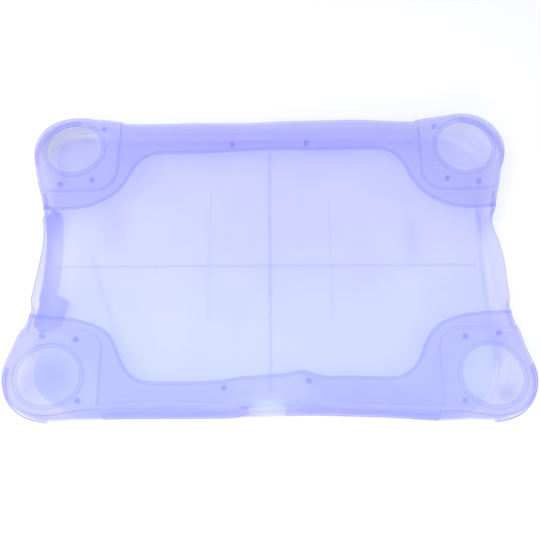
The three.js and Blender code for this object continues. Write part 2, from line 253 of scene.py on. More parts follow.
# The same for the parts that touch the ground, which has dragged them sideways.
LOW_PULLS = [
    (-232, -118, 22, 34, (-5, -1)),
    (222, -122, 26, 30, (-7, 4)),
    (-222, 136, 30, 26, (-13, 12)),
    (215, 135, 30, 22, (3, -6)),
    (-60, -157, 110, 18, (0, 0.2)),
    (45, -157, 60, 18, (0, 3.2)),
    (160, -157, 30, 14, (0, -3)),
]
CREASE = ((-193, 22), (-139, -118))       # a fold mark across the sheet
# Soft patches that deepen the colour (above 0) or pale it (below 0), for thicker or thinner silicone and
# also for painted shade and painted highlights: where, reach, how much.
THICKNESS_AND_PAINTED_LIGHT = [
    # corners of the sheet and of the pods, and the foot of the back wall; the sheet's front left corner
    # is deepened partly for its fold and partly as painted shade under the platform
    (-212, -118, 2, 22, 26, 7, 0.3), (-178, -108, 30, 45, 42, 8, 0.1), (228, -137, 8, 8, 8, 9, 0.15),
    (226, -100, 4, 3.5, 13, 7, 0.35), (212, 115, 2, 14, 3, 6, -0.3), (60, 157, 4, 300, 10, 9, 0.2),
    # right wall: its foot line, and a crumpled end
    (225.5, 47, 3, 2.2, 22, 6, 0.45), (223, -12, 3, 2.2, 40, 6, 0.25), (231, 52, 14, 6, 15, 16, 0.4),
    (231, -25, 16, 7, 38, 14, -0.05),
    # left wall: the fold, which is stretched thin, and its two ends, the top of the back end darkened as
    # painted shade
    (-227, 60, 12, 10, 2.5, 14, 0.4), (-222, 6, 8, 15, 58, 12, -0.72), (-234, 50, 20, 5, 14, 12, 0.3),
    (-233, 0, 28, 5, 62, 6, 0.25), (-226, -68, 8, 20, 13, 12, -0.45), (-214, -46, 10, 14, 13, 12, -0.22),
    # front wall: a painted highlight along its turn, drawn as thinner skin, and thick below it
    (-130, -156, 28.5, 75, 3, 4, -0.35), (-40, -154, 28.5, 30, 3, 4, -0.35),
    (95, -154.5, 28.5, 80, 3, 4, -0.35), (-100, -158, 14, 90, 6, 8, 0.12),
    (105, -157, 14, 90, 6, 8, 0.12),
    # round the window: painted shade in the crease on its left, a darker smudge on its right and paler
    # skin across it
    (-22, -152, 23, 9, 7, 4, 0.7), (17, -152, 18, 3, 6, 8, 0.25), (-3, -155, 16, 20, 8, 12, -0.95),
    (0, -150, 28, 13, 7, 5, -0.5),
    # flange, then the sheet, with painted shade on two of its ripples
    (0, 157, 29, 165, 4, 8, -0.15), (0, 136, 28, 150, 9, 6, 0.12), (190, -125, 30, 32, 32, 6, -0.15),
    (20, 20, 2, 110, 80, 6, 0.08), (-165, 44, 2, 12, 26, 6, 0.1), (150, 30, 2, 9, 26, 6, 0.1),
]
# Painted shade in the corners, drawn as a grey veil: where, reach and share of light kept back.
CORNER_SHADE = [
    (-247, 142, 8, 8, 16, 9, 0.1), (-238, 156, 8, 12, 10, 9, 0.1), (-218, 164, 8, 16, 8, 9, 0.09),
    (-204, 158, 4, 10, 9, 9, 0.04), (218, 164, 8, 24, 8, 9, 0.05), (228, -137, 8, 8, 8, 9, 0.07),
    (-237, -128, 8, 10, 22, 9, 0.04),
]
# Ripples of the sheet: where, reach and height.
RIPPLES = [
    (103, -36, 16, 30, 1.2), (-176, 44, 7, 26, 2.2), (-160, 38, 6, 20, 1.4), (150, 30, 7, 26, 1.8),
    (166, 38, 6, 20, 1.2), (-60, -60, 60, 30, 0.8),
]


def crease_at(x, y):
    """Distance to the fold mark in plan, and how strong the mark is at its nearest point."""
    (ax, ay), (bx, by) = CREASE
    span = (bx - ax) ** 2 + (by - ay) ** 2
    t = np.clip(((x - ax) * (bx - ax) + (y - ay) * (by - ay)) / span, 0, 1)
    off = np.hypot(x - ax - (bx - ax) * t, y - ay - (by - ay) * t)
    return off, np.sin(np.pi * np.minimum(t + 0.08, 1))


def sheet_lift(x, y):
    """How far the sheet stands off the ground, fading out at the walls."""
    inside = smooth(0, 26, 219 - abs(x)) * smooth(0, 26, 149 - abs(y))
    corner = 3.6 * bump(x + 212, 26) * bump(y + 124, 30) + 2 * bump(x - 205, 24) * bump(y - 118, 30)
    corner += 2.6 * bump(x + 205, 26) * bump(y - 118, 30)
    swell = noise.noise(Vector((x / 70, y / 95, 3.7))) + 0.3 * noise.noise(Vector((x / 24, y / 50, 8.1)))
    lift = 1 + 0.9 * swell
    off, strength = crease_at(x, y)
    lift += 1.5 * bump(off, 2.4) * strength
    for cx, cy, rx, ry, up in RIPPLES:
        lift += up * bump(x - cx, rx) * bump(y - cy, ry)
    return max(0.0, lift) * inside + corner


def patches(points, places):
    """Sum of soft patches at each of an array of points."""
    x, y, z = points.T
    total = np.zeros(len(points))
    for cx, cy, cz, rx, ry, rz, amount in places:
        total += amount * np.exp(-((x - cx) / rx) ** 2 - ((y - cy) / ry) ** 2 - ((z - cz) / rz) ** 2)
    return total


def density(points, name):
    """How much deeper or paler than usual the silicone of a piece is drawn at an array of points, for
    thicker or thinner skin and for painted shade and highlights.
    """
    x, y, z = points.T
    total = patches(points, THICKNESS_AND_PAINTED_LIGHT)
    if name.startswith("pod_shell"):
        # the shelf at a pod's foot is paler, by a different share at each corner: partly stretched thin
        # skin, partly a painted highlight
        corner = np.clip((np.abs(x) - 180) / 22, 0, 1) * np.clip((np.abs(y) - 84) / 22, 0, 1)
        share = np.select([y > 0, x > 0], [0.3 * (x < 0), 0.3], 0.5)
        total -= share * corner * np.clip((11 - z) / 3, 0, 1)
    # a soft halo of thicker silicone round each pip
    for px, py, pz in PIP_PLACES:
        total += 0.22 * np.exp(-((x - px) ** 2 + (y - py) ** 2) / 3.6 ** 2 - ((z - pz) / 3) ** 2)
    # painted shade along the fold mark in the sheet
    off, strength = crease_at(x, y)
    return total + 0.14 * np.exp(-(off / 1.6) ** 2 - (z / 9) ** 2) * strength


def slack(p):
    """Moves a point of the moulded shape to where the limp, empty sleeve lets it lie."""
    x, y, z = p
    up = smooth(3, 27, z)
    dx = dy = dz = 0.0
    for cx, cy, rx, ry, (mx, my, mz) in PULLS:
        w = up * bump(x - cx, rx) * bump(y - cy, ry)
        dx += mx * w
        dy += my * w
        dz += mz * w
    low = 1 - smooth(2, 20, z)
    for cx, cy, rx, ry, (mx, my) in LOW_PULLS:
        w = low * bump(x - cx, rx) * bump(y - cy, ry)
        dx += mx * w
        dy += my * w
    n = noise.noise_vector(Vector((x / 58, y / 58, 1.3 + z / 90)))
    m = noise.noise_vector(Vector((x / 21, y / 21, 6.3 + z / 60)))
    dx += up * (0.9 * n.x + 0.3 * m.x)
    dy += up * (0.9 * n.y + 0.3 * m.y)
    dz += up * (1.3 * n.z + 0.3 * m.z)
    dz += sheet_lift(x, y) * (1 - smooth(0, 6, z))
    # the front wall is pinched beside its window
    pinch = bump(x + 24, 9) * smooth(146, 158, -y)
    dy += 5 * pinch * bump(z - 15, 7)
    dz -= 3.5 * pinch * bump(z - 26, 5)
    # the free stretch of each side wall: the left one is folded inwards, the right one dented
    free = smooth(0, 7, 56 - y) * smooth(0, 12, 60 + y)
    if x < -190:
        side = smooth(190, 222, -x) * smooth(-14, -1, 56 - y)
        dx -= (13.5 + m.z) * side * smooth(-14, 0, 62 + y) * (1 - smooth(0, 9, z))
        fold = side * smooth(-18, -3, 62 + y)
        dx += fold * bump(z - 12, 7.5) * (14.5 + 15 * smooth(34, 43, -y) + 1.5 * m.y)
        dx -= free * 2.5 * smooth(18, 30, z) * bump(y + 30, 30)
    elif x > 190:
        dx += free * smooth(4, 30, z) * (5.2 * bump(y + 12, 32) - bump(y - 46, 20))
        dx -= smooth(0, 12, 58 - y) * 3.5 * bump(y - 38, 16) * smooth(18, 30, z)
        dx -= smooth(190, 222, x) * free * 4 * bump(y - 44, 20) * bump(z - 9, 7)
    return x + dx, y + dy, z + dz


def pip_spots():
    """Name, place in plan and what it stands on, for every pip."""
    spots = []
    for name, mx, my in at_corners("pip"):
        spots += [(f"{name}_{k}", x * mx, y * my, "platform") for (x, y), k in zip(POD_PIPS, "abc")]
    x, y = STRIP_PIP
    for side, my in (("front", -1), ("back", 1)):
        for end, mx in (("left", -1), ("right", 1)):
            spots.append((f"pip_{side}_{end}", x * mx + PIP_DRIFT[side], y * my, "flange"))
    return spots


PIP_PLACES = [slack((x, y, TOPS[base])) for _, x, y, base in pip_spots()]


# ---- mesh making

def link(name, verts, faces):
    """A mesh object from millimetre points, smooth apart from its sharp borders."""
    mesh = bpy.data.meshes.new(name)
    mesh.from_pydata([(x * MM, y * MM, z * MM) for x, y, z in verts], [], faces)
    mesh.validate()
    bm = bmesh.new()
    bm.from_mesh(mesh)
    bmesh.ops.remove_doubles(bm, verts=bm.verts, dist=1e-6)
    bmesh.ops.recalc_face_normals(bm, faces=bm.faces)
    for face in bm.faces:
        face.smooth = True
    for edge in bm.edges:
        edge.smooth = edge.calc_face_angle(0) < radians(42)
    bm.to_mesh(mesh)
    bm.free()
    piece = bpy.data.objects.new(name, mesh)
    bpy.context.scene.collection.objects.link(piece)
    return piece


def grid_faces(n, m, offset=0, loop=False):
    rows = n if loop else n - 1
    return [
        (offset + i * m + j, offset + i * m + j + 1,
         offset + (i + 1) % n * m + j + 1, offset + (i + 1) % n * m + j)
        for i in range(rows)
        for j in range(m - 1)
    ]


def tube_faces(n, m, loop=False):
    """Faces round n sections of m points each, with end caps unless the tube is a loop."""
    faces = [
        (i * m + j, (i + 1) % n * m + j, (i + 1) % n * m + (j + 1) % m, i * m + (j + 1) % m)
        for i in range(n if loop else n - 1)
        for j in range(m)
    ]
    return faces if loop else faces + [tuple(range(m)), tuple(range((n - 1) * m, n * m))]


def thick(grid, skin, loop=False, ends=False, foot=False, top=False):
    """Points and faces of a skin: the outer grid, and the same grid one skin inwards.

    The border faces are made only where a border is free, and not where the skin runs on into
    the next piece of the moulding.
    """
    n, m = len(grid), len(grid[0])
    outer = [[Vector(p) for p in row] for row in grid]
    inner = []
    for i in range(n):
        before = outer[(i - 1) % n] if loop else outer[max(i - 1, 0)]
        after = outer[(i + 1) % n] if loop else outer[min(i + 1, n - 1)]
        row = []
        for j in range(m):
            du = after[j] - before[j]
            dv = outer[i][min(j + 1, m - 1)] - outer[i][max(j - 1, 0)]
            row.append(outer[i][j] + du.cross(dv).normalized() * skin)
        inner.append(row)
    verts = [tuple(p) for row in outer for p in row] + [tuple(p) for row in inner for p in row]
    size = n * m
    faces = grid_faces(n, m, 0, loop)
    faces += [face[::-1] for face in grid_faces(n, m, size, loop)]
    for i in range(n if loop else n - 1):
        k = (i + 1) % n
        for j in [0] * foot + [m - 1] * top:
            faces.append((i * m + j, k * m + j, size + k * m + j, size + i * m + j))
    for i in [0, n - 1] * ends:
        for j in range(m - 1):
            faces.append((i * m + j, i * m + j + 1, size + i * m + j + 1, size + i * m + j))
    return verts, faces


def skin_piece(name, grid, skin, **free):
    """A skin of one thickness over a grid of moulded points, slumped."""
    verts, faces = thick([[slack(p) for p in row] for row in grid], skin, **free)
    return link(name, verts, faces)


def swept_piece(name, path, section, height, loop=False):
    """A closed section of (sideways, up) pairs along a plan path, slumped as one."""
    n = len(path)
    verts = []
    for i, (x, y) in enumerate(path):
        ax, ay = path[(i - 1) % n] if loop else path[max(i - 1, 0)]
        bx, by = path[(i + 1) % n] if loop else path[min(i + 1, n - 1)]
        length = hypot(bx - ax, by - ay)
        sx, sy = (ay - by) / length, (bx - ax) / length
        for u, up in section:
            # the whole section moves with the skin at its middle height
            px, py = x + sx * u, y + sy * u
            mx, my, mz = slack((px, py, height))
            verts.append((mx, my, mz + up))
    return link(name, verts, tube_faces(n, len(section), loop))


def thread(name, points, radius):
    """A thin round thread along points in space."""
    points = spaced(points, len(points))
    around = 8
    verts = []
    for i, p in enumerate(points):
        ahead = Vector(points[min(i + 1, len(points) - 1)]) - Vector(points[max(i - 1, 0)])
        side = ahead.cross(Vector((0, 0, 1))).normalized()
        up = side.cross(ahead).normalized()
        for c, s in arc(0, 0, radius, 0, 360, around)[:-1]:
            verts.append(tuple(Vector(p) + side * c + up * s))
    return link(name, verts, tube_faces(len(points), around))


def stud(name, top, r, skin):
    """A domed stud through the skin, a little proud above and longer below."""
    x, y, z = top
    low, high = -skin - 2.4, 0.35
    rings = [(r * 0.6, low + 0.15), (r * 0.9, low + 0.8), (r, low + 2), (r, high - 0.5),
             (r * 0.7, high - 0.12)]
    around = 28
    verts = [(x, y, z + low), (x, y, z + high)]
    for radius, up in rings:
        verts += [(px, py, z + up) for px, py in arc(x, y, radius, 0, 360, around)[:-1]]
    last = 2 + (len(rings) - 1) * around
    faces = []
    for k in range(around):
        n = (k + 1) % around
        faces.append((0, 2 + k, 2 + n))
        faces.append((1, last + n, last + k))
        for a in range(2, last, around):
            faces.append((a + k, a + around + k, a + around + n, a + n))
    return link(name, verts, faces)


def round_section(half_width, low, high, r, count=4):
    """Rounded rectangle as (sideways, up) pairs."""
    side, foot, top = half_width - r, low + r, high - r
    pairs = []
    for i, (cx, cz) in enumerate(((side, foot), (side, top), (-side, top), (-side, foot))):
        pairs += arc(cx, cz, r, 90 * i - 90, 90 * i, count)
    return pairs


def loft(outer, inner, z, count=14):
    """A flat grid between two lines of plan points."""
    return [
        [(mix(a[0], b[0], t), mix(a[1], b[1], t), z) for t in steps(0, 1, count)]
        for a, b in zip(outer, inner)
    ]


def settle(piece, material, slot, *nodes):
    """Gives a finished piece its material, its body and the CAD nodes that it stands for."""
    mesh = piece.data
    points = np.empty(len(mesh.vertices) * 3)
    mesh.vertices.foreach_get("co", points)
    points = points.reshape(-1, 3) / MM
    # each point notes its thickness together with painted shade and highlights, and the painted shade in
    # the corners
    for name, values in (("thickness_and_painted_light", density(points, piece.name)), ("painted_corner_shade", patches(points, CORNER_SHADE))):
        noted = mesh.attributes.new(name, "FLOAT", "POINT")
        noted.data.foreach_set("value", values.astype(np.float32))
    piece.data.materials.clear()
    piece.data.materials.append(material)
    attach(piece, "root")
    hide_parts(*nodes)
    return piece


# ---- moulded shapes

def wall_row(s, d, kind="wall"):
    """One station of a wall or a pod, from the ground up."""
    (ox, oy), (bx, by), (nx, ny) = along(WALL_LINE, s), along(FOOT_LINE, s), outward(WALL_LINE, s)
    fillet, inset = d[kind + "_fillet"], d[kind + "_inset"]
    top = d["platform" if kind == "pod" else "flange"]
    closed = closed_share(s)
    w = pod_share(s)
    if kind == "pod":
        # both ends of a pod come down towards the flange beside it
        q = nearest(s)
        begun, done = smooth(AT_STEP_X, AT_STEP_X + 0.35, q), smooth(AT_STEP_Y - 0.35, AT_STEP_Y, q)
        top -= 2.6 * (1 - begun * (1 - done))
    row = []
    for u in steps(0, 1, FOOT_ROWS):
        # a plain foot is a quarter turn, 8.5 high, and a pod's foot has a shelf
        a = u * pi / 2
        straight = (0.04 + 0.96 * sin(a) if u else 0, 8.5 * (1 - cos(a)))
        pod = spline(SHELF, u * (len(SHELF) - 1))
        share, z = mix(straight[0], pod[0], w), max(0, mix(straight[1], pod[1], w))
        row.append((mix(bx, ox, share), mix(by, oy, share), z))
    face_top = top - fillet
    row += [(ox, oy, z) for z in steps(row[-1][2], face_top, FACE_ROWS)[1:-1]]
    for a in steps(0, pi / 2, TURN_ROWS):
        back = fillet * (1 - cos(a)) * closed
        z = face_top + fillet * mix(a / (pi / 2), sin(a), closed)
        row.append((ox - nx * back, oy - ny * back, z))
    tail = (inset - fillet) * closed
    x, y, z = row[-1]
    row.append((x - nx * tail, y - ny * tail, z + 0.4 * (1 - closed)))
    return row


def wall_grid(first, last, count, d, kind="wall"):
    """Rows of a wall or a pod from one station to another."""
    return [wall_row(s, d, kind) for s in steps(first, last, count)]


def mirror(points, mx, my):
    if isinstance(points, tuple):
        return (points[0] * mx, points[1] * my) + tuple(points[2:])
    return [mirror(p, mx, my) for p in points]


def handed(grid, mx, my):
    """A mirrored grid, with its rows turned round so that its outside stays outside."""
    grid = mirror(grid, mx, my)
    return grid[::-1] if mx * my < 0 else grid


def free_edge(offset, last, count):
    """Free edge of the flange in the first quadrant, up to a numbered point, set into the flange."""
    path = []
    for s in steps(0, last, 12 * last):
        x, y = spline(GUSSET_EDGE, s)
        ax, ay = spline(GUSSET_EDGE, max(0, s - 0.05))
        bx, by = spline(GUSSET_EDGE, min(last, s + 0.05))
        size = hypot(bx - ax, by - ay)
        path.append((x + (by - ay) / size * offset, y - (bx - ax) / size * offset))
    return spaced(path, count)


def band_path(proud):
    """Line of a corner band that stands proud of the pod's outer face."""
    return spaced([set_in(s, -proud) for s in steps(*AT_BAND, 60)], 60)


def step_line(r, count, long_in):
    """Line of the platform's step, from the side wall to the long wall."""
    path = [(237.5, STEP_Y + r)]
    path += arc(STEP_X + STEP_R, STEP_Y + STEP_R, STEP_R - r, 270, 180, 16)
    path += [(STEP_X + r, long_in)]
    return spaced(path, count)


# ---- user settings

def hex_colour(code):
    """Linear RGB of an sRGB hex colour."""
    channels = (int(code[i:i + 2], 16) / 255 for i in (0, 2, 4))
    return tuple(c / 12.92 if c <= 0.04045 else ((c + 0.055) / 1.055) ** 2.4 for c in channels)


def number(name, description, default, **more):
    return bpy.props.FloatProperty(name=name, description=description, default=default, **more)


def size_prop(name, description, default):
    return number(name, description, default * MM, unit="LENGTH", min=0.0)


def share_prop(name, description, default):
    return number(name, description, default, subtype="FACTOR", min=0.0, max=1.0)


def colour_prop(name, description, code):
    return bpy.props.FloatVectorProperty(name=name, description=description, size=3, subtype="COLOR",
                                         default=hex_colour(code), min=0.0, max=1.0)


class SleeveSizes(bpy.types.PropertyGroup):
    """Sizes of the moulding."""
    skin: size_prop("Skin", "Thickness of the silicone", 1.6)
    flange: size_prop("Flange height", "Height of the flange's outer face", TOPS["flange"])
    platform: size_prop("Platform height", "Height of a foot platform's outer face", TOPS["platform"])
    wall_fillet: size_prop("Wall fillet", "Radius where a wall turns into the flange", 6)
    wall_inset: size_prop("Wall inset", "Distance from a wall's face to the flat flange", 6.5)
    pod_fillet: size_prop("Pod fillet", "Radius where a pod turns into its platform", 3.5)
    pod_inset: size_prop("Pod inset", "Distance from a pod's face to its flat platform", 3.8)
    foot_hole: size_prop("Foot hole radius", "Radius inside the rim of a foot hole", 29)
    rim: size_prop("Rim width", "Width of the thick rim around a foot hole", 4.2)
    bead: size_prop("Bead width", "Width of the thickened free edge of the flange", 3)
    band: size_prop("Band depth", "How far a corner band stands proud of its pod", 2.2)
    pip: size_prop("Pip radius", "Radius of a locating pip", 2.6)
    guide: size_prop("Guide line width", "Width of a moulded guide line", 3)


class SiliconeLook(bpy.types.PropertyGroup):
    """Colour and density of the silicone."""
    body: colour_prop("Body", "Colour of light scattered back by the silicone", "E6D8FF")
    deep: colour_prop("Deep", "Colour scattered back where the silicone is thickest", "948CF4")
    # the front and back filters paint light falling from the front: paler and cooler at the front, more
    # violet at the back
    filter: colour_prop("Filter", "Colour of light that passes one face at the front", "F4F9FF")
    upper: colour_prop("Upper filter", "The same for all parts above the sheet", "F4F6FF")
    back: colour_prop("Back filter", "Colour of light that passes one face at the back", "F3F5FF")
    dense: colour_prop("Dense filter", "The same where the silicone is thickest", "D6DAFF")
    solid: share_prop("Milkiness", "Share of the light that one face scatters", 0.12)
    grazing: share_prop("Edge-on density", "How much deeper upright skin looks", 0.14)
    guide_depth: share_prop("Guide line depth", "How much a guide line deepens the sheet", 0.01)
    # painted shade where the sheet stands off the ground
    lifted: share_prop("Lift", "How much the sheet deepens where it stands off the ground", 0.16)
    front_depth: share_prop("Front wall depth", "How much thicker the front wall looks", 0.07)
    trim_depth: share_prop("Trim depth", "How deep the colour of a bead or step is", 0.17)
    limp: share_prop("Limp wall thinness", "How much thinner the side walls look", 0.12)
    eased: share_prop("Gusset thinness", "How much thinner gussets and platforms look", 0.2)
    ridge_depth: share_prop("Ridge depth", "How deep the colour of the parting line is", 0.2)
    pip_depth: share_prop("Pip depth", "How deep the colour of a pip is", 0.08)


class StageLook(bpy.types.PropertyGroup):
    """Floor, light and camera."""
    floor: colour_prop("Floor", "Colour of the floor", "FCFCFD")
    elevation: number("Elevation", "Camera angle above the floor", radians(67.5), subtype="ANGLE")
    distance: size_prop("Distance", "Camera distance from the sleeve", 736)
    lens: number("Lens", "Focal length on a 36 mm sensor", 46.67, subtype="DISTANCE_CAMERA")
    tilt: number("Tilt", "Roll of the camera", radians(-0.3), subtype="ANGLE")
    low_aim: size_prop("Low aim", "How far in front of the middle the camera aims", 3.6)


# ---- materials

def add_node(tree, kind, links=(), out=0, **settings):
    """Adds a node and gives back one of its outputs, by name or number.

    A setting is one of the node's properties, or the value of an input by name or number.
    """
    node = tree.nodes.new("ShaderNode" + kind)
    for key, value in settings.items():
        if hasattr(node, key):
            setattr(node, key, value)
        else:
            slot = int(key[1:]) if key[0] == "i" and key[1:].isdigit() else key.replace("_", " ")
            node.inputs[slot].default_value = value
    for socket, source in dict(links).items():
        tree.links.new(source, node.inputs[socket])
    return node.outputs[out] if node.outputs else None


def new_material(name):
    """An empty material, and add_node for its own tree."""
    material = bpy.data.materials.new(name)
    material.use_nodes = True
    material.node_tree.nodes.clear()
    return material, partial(add_node, material.node_tree)


def moulded_silicone(part, solid, depth=0.0, lifted=0.0, thin=0.0):
    """Translucent silicone rubber from a polished mould, made once for each kind of part.

    The eye gets a milky, blue-violet sheet that shows what lies behind it. It deepens with each
    layer, where it is thick and where it is seen edge-on, and has a soft satin shine with a faint
    dusty unevenness. It also carries painted light: painted shade in the corners, where the sheet
    stands off the ground and towards the back, and painted shade and highlights noted with a
    piece's thickness.
    """
    name = f"moulded_silicone_{part}"
    if name in bpy.data.materials:
        return bpy.data.materials[name]
    look = bpy.context.scene.silicone_look
    colour = [mix(a, b, depth) for a, b in zip(look.body, look.deep)]
    material, add = new_material(name)
    place = add("TexCoord", out="Object")
    # cloudiness of the mix: patches some 60 mm across
    cloud = add("TexNoise", {"Vector": place}, Scale=1 / 0.06, Detail=3.0, Roughness=0.55)
    # mould grain is finer than a tenth of a millimetre, drawn here at 1.2 mm so that it shows
    grain = add("TexNoise", {"Vector": place}, Scale=1 / 0.0012, Detail=2.0, Roughness=0.6)
    # wiped dust and handling marks, about 9 mm long
    marks = add("TexNoise", {"Vector": place}, Scale=1 / 0.009, Detail=4.0, Roughness=0.62,
                Distortion=0.8)
    # light runs a longer way through upright skin, which deepens the colour there
    normal = add("NewGeometry", out="Normal")
    upright = add("SeparateXYZ", {"Vector": normal}, out="Z")
    level = add("Math", {0: upright}, operation="ABSOLUTE")
    longer = add("MapRange", {"Value": level}, interpolation_type="SMOOTHSTEP", i1=0.0, i2=0.85,
                 i3=look.grazing, i4=0.0)
    # each piece notes where its silicone is thicker, above 0, or thinner, down to -1; the same note
    # carries painted shade above 0 and painted highlights below 0
    noted = add("Attribute", out="Fac", attribute_name="thickness_and_painted_light")
    thicker = add("Math", {0: noted}, operation="MAXIMUM", i1=0.0)
    thinner = add("MapRange", {"Value": noted}, i1=0.0, i2=-1.0, i3=thin, i4=1.0)
    added = add("Math", {0: longer, 1: thicker}, operation="ADD")
    deeper = add("Math", {0: added}, operation="ADD", i1=depth, use_clamp=True)
    if lifted:
        # painted shade: where the sheet has let go of the ground it is drawn a little deeper
        height = add("SeparateXYZ", {"Vector": place}, out="Z")
        lift_shade = add("MapRange", {"Value": height}, i1=0.0024, i2=0.006, i3=0.0, i4=lifted)
        deeper = add("Math", {0: deeper, 1: lift_shade}, operation="ADD", use_clamp=True)
    # painted light: paler and cooler at the front, where more light falls, and more violet towards the
    # back
    depthwise = add("SeparateXYZ", {"Vector": place}, out="Y")
    far = add("MapRange", {"Value": depthwise}, i1=-0.15, i2=0.15)
    front = look.filter if lifted else look.upper
    usual = add("Mix", {"Factor": far}, 2, data_type="RGBA", i6=(*front, 1), i7=(*look.back, 1))
    full = add("Mix", {"Factor": deeper, 6: usual}, 2, data_type="RGBA", i7=(*look.dense, 1))
    clean = add("Mix", {"Factor": thinner, 6: full}, 2, data_type="RGBA", i7=(1, 1, 1, 1))
    # painted shade in the corners: a grey veil that holds back some of the light passing through
    painted_corner_shade = add("Attribute", out="Fac", attribute_name="painted_corner_shade")
    passed = add("Mix", {"Factor": painted_corner_shade, 6: clean}, 2, data_type="RGBA", i7=(0, 0, 0, 1))
    clear = add("BsdfTransparent", {"Color": passed})
    # the share of light that the skin scatters is less where it is thin
    milky = add("MapRange", {"Value": cloud}, i1=0.3, i2=0.7, i3=solid - 0.012, i4=solid + 0.012)
    left = add("Math", {1: thinner}, operation="SUBTRACT", i0=1.0)
    alpha = add("Math", {0: milky, 1: left}, operation="MULTIPLY")
    tint = add("Mix", {"Factor": cloud}, 2, data_type="RGBA", i6=(*colour, 1),
               i7=(*[c * 0.9 for c in colour], 1))
    shine = add("MapRange", {"Value": marks}, i1=0.3, i2=0.75, i3=0.3, i4=0.48)
    relief = add("Bump", {"Height": grain}, Strength=0.12, Distance=0.0002)
    surface = add("BsdfPrincipled", {"Base Color": tint, "Roughness": shine, "Normal": relief},
                  IOR=1.41, Specular_IOR_Level=0.35)
    glow = add("BsdfTranslucent", {"Color": tint, "Normal": relief})
    body = add("MixShader", {1: surface, 2: glow}, i0=0.35)
    veil = add("MixShader", {0: alpha, 1: clear, 2: body})
    # satin shine, a little stronger where the skin is seen edge-on
    facing = add("LayerWeight", out="Facing", Blend=0.3)
    gloss = add("MapRange", {"Value": facing}, i3=0.02, i4=0.06)
    satin = add("BsdfGlossy", {"Roughness": shine, "Normal": relief})
    final = add("MixShader", {0: gloss, 1: veil, 2: satin})
    add("OutputMaterial", {"Surface": final})
    return material


def studio_paper(colour):
    """Matt white studio paper: an even pale ground with the faintest mottle."""
    material, add = new_material("studio_paper")
    place = add("TexCoord", out="Object")
    # mottle about 170 mm across
    mottle = add("TexNoise", {"Vector": place}, Scale=6.0, Detail=2.0)
    tint = add("Mix", {"Factor": mottle}, 2, data_type="RGBA", i6=(*colour, 1),
               i7=(*[c * 0.992 for c in colour], 1))
    surface = add("BsdfPrincipled", {"Base Color": tint}, Roughness=0.9,
                  Emission_Color=(1, 1, 1, 1), Emission_Strength=0.05)
    add("OutputMaterial", {"Surface": surface})
    return material


# ---- operators

def settings(context):
    """The sizes as plain millimetres, and the look."""
    sizes = context.scene.sleeve_sizes
    plain = {key: getattr(sizes, key) / MM for key in sizes.__annotations__}
    return plain, context.scene.silicone_look


class SLEEVE_OT_sheet(bpy.types.Operator):
    """Thin sheet that one stands on, with its moulded guide lines"""
    bl_idname = "sleeve.sheet"
    bl_label = "Standing sheet"

    def execute(self, context):
        d, look = settings(context)
        material = moulded_silicone("sheet", look.solid, lifted=look.lifted)
        columns, rows = 190, 126
        right = [along(FOOT_LINE, s) for s in steps(2 * LAST - AT_CORNER, AT_CORNER, rows)]
        back = [along(FOOT_LINE, s) for s in steps(-AT_CORNER, AT_CORNER, columns)]
        front = mirror(back, 1, -1)
        left = mirror(right, -1, 1)
        grid = []
        for i, u in enumerate(steps(0, 1, columns)):
            column = []
            for j, v in enumerate(steps(0, 1, rows)):
                point = []
                for k in (0, 1):
                    edges = mix(front[i][k], back[i][k], v) + mix(left[j][k], right[j][k], u)
                    ends = mix(front[0][k], front[-1][k], u), mix(back[0][k], back[-1][k], u)
                    point.append(edges - mix(*ends, v))
                column.append((*point, 0))
            grid.append(column)
        sheet = skin_piece("standing_sheet", grid, d["skin"])
        settle(sheet, material, "silicone_sheet", "standing_sheet")

        for i, (a, b, width, thin) in enumerate(GUIDE_LINES):
            section = round_section(width * d["guide"] / 2, d["skin"] - 0.2, d["skin"] + 0.4, 0.29, 3)
            guide = swept_piece(f"guide_line_{'abcd'[i]}", spaced([a, b], 90), section, 0)
            line_material = moulded_silicone(f"guide_{i}", 0.02, look.guide_depth, thin=thin)
            settle(guide, line_material, "silicone_sheet", "standing_sheet")
        return {"FINISHED"}


class SLEEVE_OT_long_walls(bpy.types.Operator):
    """Front wall with its switch window, and back wall"""
    bl_idname = "sleeve.long_walls"
    bl_label = "Long walls"

    def execute(self, context):
        d, look = settings(context)
        grid = wall_grid(-AT_STEP_X, AT_STEP_X, 110, d)
        back = skin_piece("back_wall", handed(grid, 1, 1), d["skin"])
        settle(back, moulded_silicone("wall", look.solid), "silicone_wall", "back_wall")
        front = skin_piece("front_wall", handed(grid, 1, -1), d["skin"], ends=True, foot=True, top=True)
        (left, right), (low, high) = WINDOW_X, WINDOW_Z
        outline = round_section((right - left) / 2, low, high, WINDOW_CORNER, 8)
        outline = [(x + (left + right) / 2, z) for x, z in outline]
        # drawn out to both sides of the wall
        cutter = link("window_cutter", *prism(outline, -178, -140))
        cut = front.modifiers.new("window", "BOOLEAN")
        cut.object = cutter
        cut.operation = "DIFFERENCE"
        cut.solver = "EXACT"
        apply_modifiers(front)
        open_seams(front)
        bpy.data.objects.remove(cutter)
        material = moulded_silicone("front_wall", look.solid, look.front_depth)
        settle(front, material, "silicone_wall", "front_wall")
        return {"FINISHED"}


def prism(outline, y0, y1):
    """Points and faces of an (x, z) outline drawn out along Y."""
    n = len(outline)
    verts = [(x, y, z) for y in (y0, y1) for x, z in outline]
    faces = [tuple(range(n)), tuple(range(n, 2 * n))]
    faces += [(i, (i + 1) % n, n + (i + 1) % n, n + i) for i in range(n)]
    return verts, faces


def open_seams(piece):
    """Takes away the end faces, where the wall runs on into the pods."""
    bm = bmesh.new()
    bm.from_mesh(piece.data)
    ends = [f for f in bm.faces
            if abs(f.normal.x) > 0.9 and abs(f.calc_center_median().x) > (STEP_X - 4) * MM]
    bmesh.ops.delete(bm, geom=ends, context="FACES")
    bm.to_mesh(piece.data)
    bm.free()


